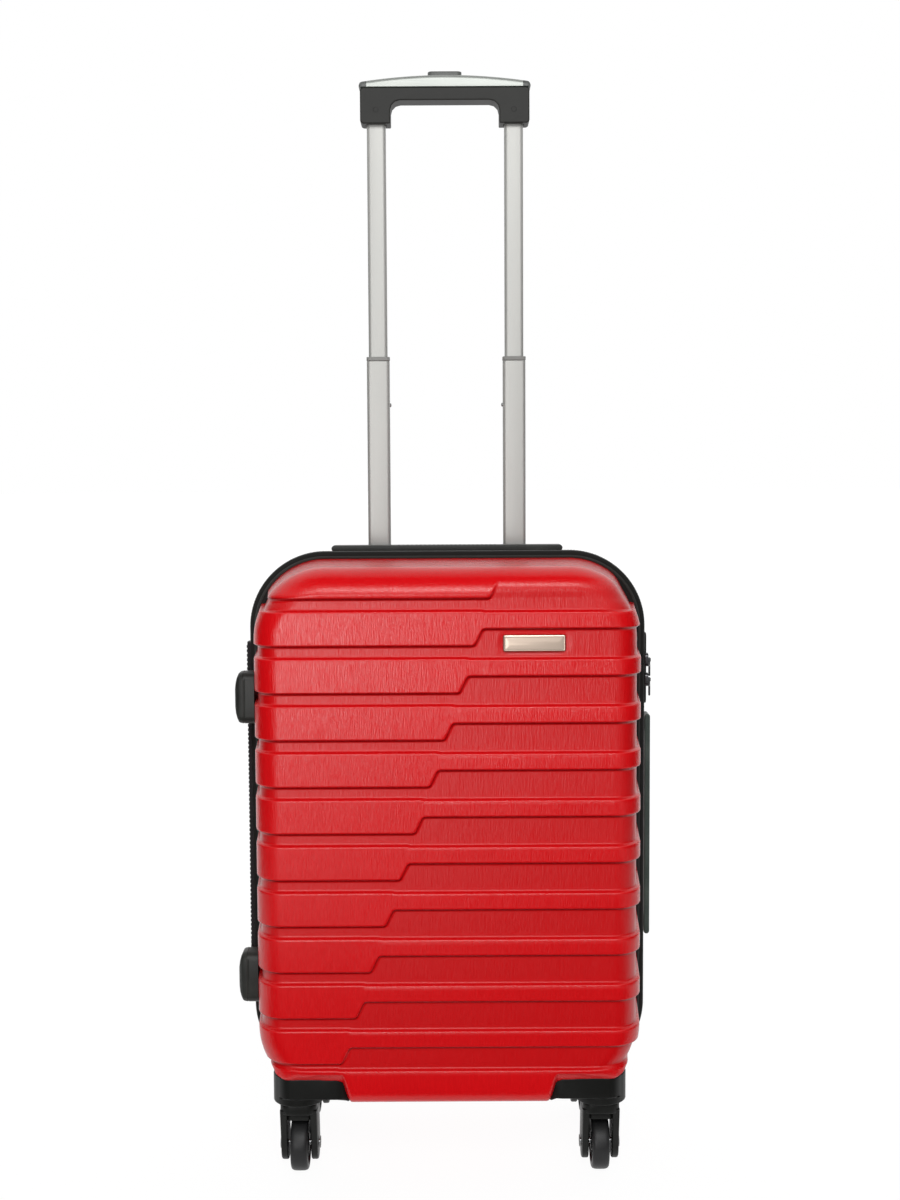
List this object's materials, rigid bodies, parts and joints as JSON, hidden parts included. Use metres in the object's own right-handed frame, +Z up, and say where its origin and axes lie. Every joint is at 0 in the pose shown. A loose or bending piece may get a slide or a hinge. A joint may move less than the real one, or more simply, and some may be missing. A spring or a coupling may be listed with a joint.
{
  "type": "hard shell spinner suitcase",
  "caption": "Upright hard shell cabin suitcase with stepped horizontal ribs, clamshell zip, telescopic pull handle, carry handles, side feet and spinner casters.",
  "frame": {"origin": "on the floor under the middle of the case", "axes": "+X to the right seen from the front, +Y to the back, +Z up along the pull handle"},
  "size_m": [0.374, 0.204, 0.988],
  "materials": {
    "red_shell": "glossy pressed sheet with a fine embossed grain",
    "zip_tape": "woven tape",
    "lining": "light woven lining",
    "black_plastic": "satin moulded",
    "black_rubber": "soft touch",
    "grey_plastic": "satin moulded",
    "satin_aluminium": "satin anodised",
    "silver_cover": "silver lacquer",
    "badge_metal": "brushed champagne",
    "steel": "plated",
    "wheel_rubber": "moulded tread"
  },
  "bodies": {
    "rear_case": {"rear_shell": "red_shell", "rear_zip_tape": "zip_tape", "hinge_strip": "zip_tape", "rear_lining": "lining", "trolley_bezel": "black_plastic", "left_outer_tube": "satin_aluminium", "right_outer_tube": "satin_aluminium", "tube_foot_bracket": "black_plastic", "top_handle_base": "black_plastic", "side_handle_base": "black_plastic", "rear_upper_foot": "black_rubber", "rear_lower_foot": "black_rubber", "rear_left_housing": "black_plastic", "rear_right_housing": "black_plastic", "lock_body": "black_plastic"},
    "front_case": {"front_shell": "red_shell", "front_zip_tape": "zip_tape", "front_lining": "lining", "badge_plate": "badge_metal", "front_upper_foot": "black_rubber", "front_lower_foot": "black_rubber", "front_left_housing": "black_plastic", "front_right_housing": "black_plastic"},
    "top_handle": {"top_handle_grip": "black_rubber"},
    "side_handle": {"side_handle_grip": "grey_plastic"},
    "middle_stage": {"left_middle_tube": "satin_aluminium", "right_middle_tube": "satin_aluminium", "left_collar": "grey_plastic", "right_collar": "grey_plastic", "left_lower_clip": "steel", "right_lower_clip": "steel"},
    "inner_stage": {"left_inner_tube": "satin_aluminium", "right_inner_tube": "satin_aluminium", "grip_base": "black_plastic", "grip_cover": "silver_cover", "left_upper_clip": "steel", "right_upper_clip": "steel"},
    "release": {"release_button": "black_plastic", "push_rod_frame": "steel"},
    "rear_left_caster": {"rear_left_fork": "black_plastic", "rear_left_axle": "steel"},
    "rear_left_wheel_body": {"rear_left_wheel": "wheel_rubber"},
    "rear_right_caster": {"rear_right_fork": "black_plastic", "rear_right_axle": "steel"},
    "rear_right_wheel_body": {"rear_right_wheel": "wheel_rubber"},
    "front_left_caster": {"front_left_fork": "black_plastic", "front_left_axle": "steel"},
    "front_left_wheel_body": {"front_left_wheel": "wheel_rubber"},
    "front_right_caster": {"front_right_fork": "black_plastic", "front_right_axle": "steel"},
    "front_right_wheel_body": {"front_right_wheel": "wheel_rubber"},
    "upper_slider": {"upper_zip_slider": "steel"},
    "upper_pull": {"upper_zip_pull": "steel"},
    "lower_slider": {"lower_zip_slider": "steel"},
    "lower_pull": {"lower_zip_pull": "steel"},
    "dial_1": {"lock_dial_1": "grey_plastic"},
    "dial_2": {"lock_dial_2": "grey_plastic"},
    "dial_3": {"lock_dial_3": "grey_plastic"},
    "lock_catch": {"lock_slide": "steel"}
  },
  "joints": [
    {"name": "case_hinge", "type": "hinge", "parent": "rear_case", "child": "front_case", "pos_m": [-0.188, 0, 0.3], "axis": [0, 0, -1], "range_deg": [0, 180], "deforming": ["hinge_strip"]},
    {"name": "middle_slide", "type": "slide", "parent": "rear_case", "child": "middle_stage", "axis": [0, 0, 1], "range_m": [-0.1775, 0], "deforming": ["left_lower_clip", "right_lower_clip"]},
    {"name": "inner_slide", "type": "slide", "parent": "middle_stage", "child": "inner_stage", "axis": [0, 0, 1], "range_m": [-0.2135, 0], "deforming": ["left_upper_clip", "right_upper_clip"]},
    {"name": "button_press", "type": "slide", "parent": "inner_stage", "child": "release", "axis": [0, 0, 1], "range_m": [-0.003, 0], "stiffness_N_per_m": 1500, "springref_m": 0.002},
    {"name": "top_handle_lift", "type": "slide", "parent": "rear_case", "child": "top_handle", "axis": [0, 0, 1], "range_m": [0, 0.01], "stiffness_N_per_m": 300, "springref_m": -0.001},
    {"name": "side_handle_pull", "type": "slide", "parent": "rear_case", "child": "side_handle", "axis": [1, 0, 0], "range_m": [0, 0.01], "stiffness_N_per_m": 300, "springref_m": -0.001},
    {"name": "rear_left_swivel", "type": "hinge", "parent": "rear_case", "child": "rear_left_caster", "pos_m": [-0.1325, 0.073, 0.066], "axis": [0, 0, 1], "continuous": true},
    {"name": "rear_left_spin", "type": "hinge", "parent": "rear_left_caster", "child": "rear_left_wheel_body", "pos_m": [-0.1325, 0.065, 0.0243], "axis": [1, 0, 0], "continuous": true},
    {"name": "rear_right_swivel", "type": "hinge", "parent": "rear_case", "child": "rear_right_caster", "pos_m": [0.1325, 0.073, 0.066], "axis": [0, 0, 1], "continuous": true},
    {"name": "rear_right_spin", "type": "hinge", "parent": "rear_right_caster", "child": "rear_right_wheel_body", "pos_m": [0.1325, 0.065, 0.0243], "axis": [1, 0, 0], "continuous": true},
    {"name": "front_left_swivel", "type": "hinge", "parent": "front_case", "child": "front_left_caster", "pos_m": [-0.1325, -0.073, 0.066], "axis": [0, 0, 1], "continuous": true},
    {"name": "front_left_spin", "type": "hinge", "parent": "front_left_caster", "child": "front_left_wheel_body", "pos_m": [-0.1325, -0.065, 0.0243], "axis": [1, 0, 0], "continuous": true},
    {"name": "front_right_swivel", "type": "hinge", "parent": "front_case", "child": "front_right_caster", "pos_m": [0.1325, -0.073, 0.066], "axis": [0, 0, 1], "continuous": true},
    {"name": "front_right_spin", "type": "hinge", "parent": "front_right_caster", "child": "front_right_wheel_body", "pos_m": [0.1325, -0.065, 0.0243], "axis": [1, 0, 0], "continuous": true},
    {"name": "upper_slider_run", "type": "slide", "parent": "rear_case", "child": "upper_slider", "axis": [0, 0, 1], "range_m": [0, 0.024]},
    {"name": "lower_slider_run", "type": "slide", "parent": "rear_case", "child": "lower_slider", "axis": [0, 0, -1], "range_m": [0, 0.285]},
    {"name": "upper_pull_swing", "type": "hinge", "parent": "upper_slider", "child": "upper_pull", "pos_m": [0.1832, 0, 0.4465], "axis": [0, -1, 0], "range_deg": [0, 120]},
    {"name": "lower_pull_swing", "type": "hinge", "parent": "lower_slider", "child": "lower_pull", "pos_m": [0.1832, 0, 0.4285], "axis": [0, -1, 0], "range_deg": [0, 120]},
    {"name": "dial_1_turn", "type": "hinge", "parent": "rear_case", "child": "dial_1", "pos_m": [0.1776, 0.021, 0.42], "axis": [0, 0, 1], "continuous": true},
    {"name": "dial_2_turn", "type": "hinge", "parent": "rear_case", "child": "dial_2", "pos_m": [0.1776, 0.021, 0.4255], "axis": [0, 0, 1], "continuous": true},
    {"name": "dial_3_turn", "type": "hinge", "parent": "rear_case", "child": "dial_3", "pos_m": [0.1776, 0.021, 0.431], "axis": [0, 0, 1], "continuous": true},
    {"name": "lock_catch_slide", "type": "slide", "parent": "rear_case", "child": "lock_catch", "axis": [0, 0, 1], "range_m": [0, 0.004]}
  ]
}
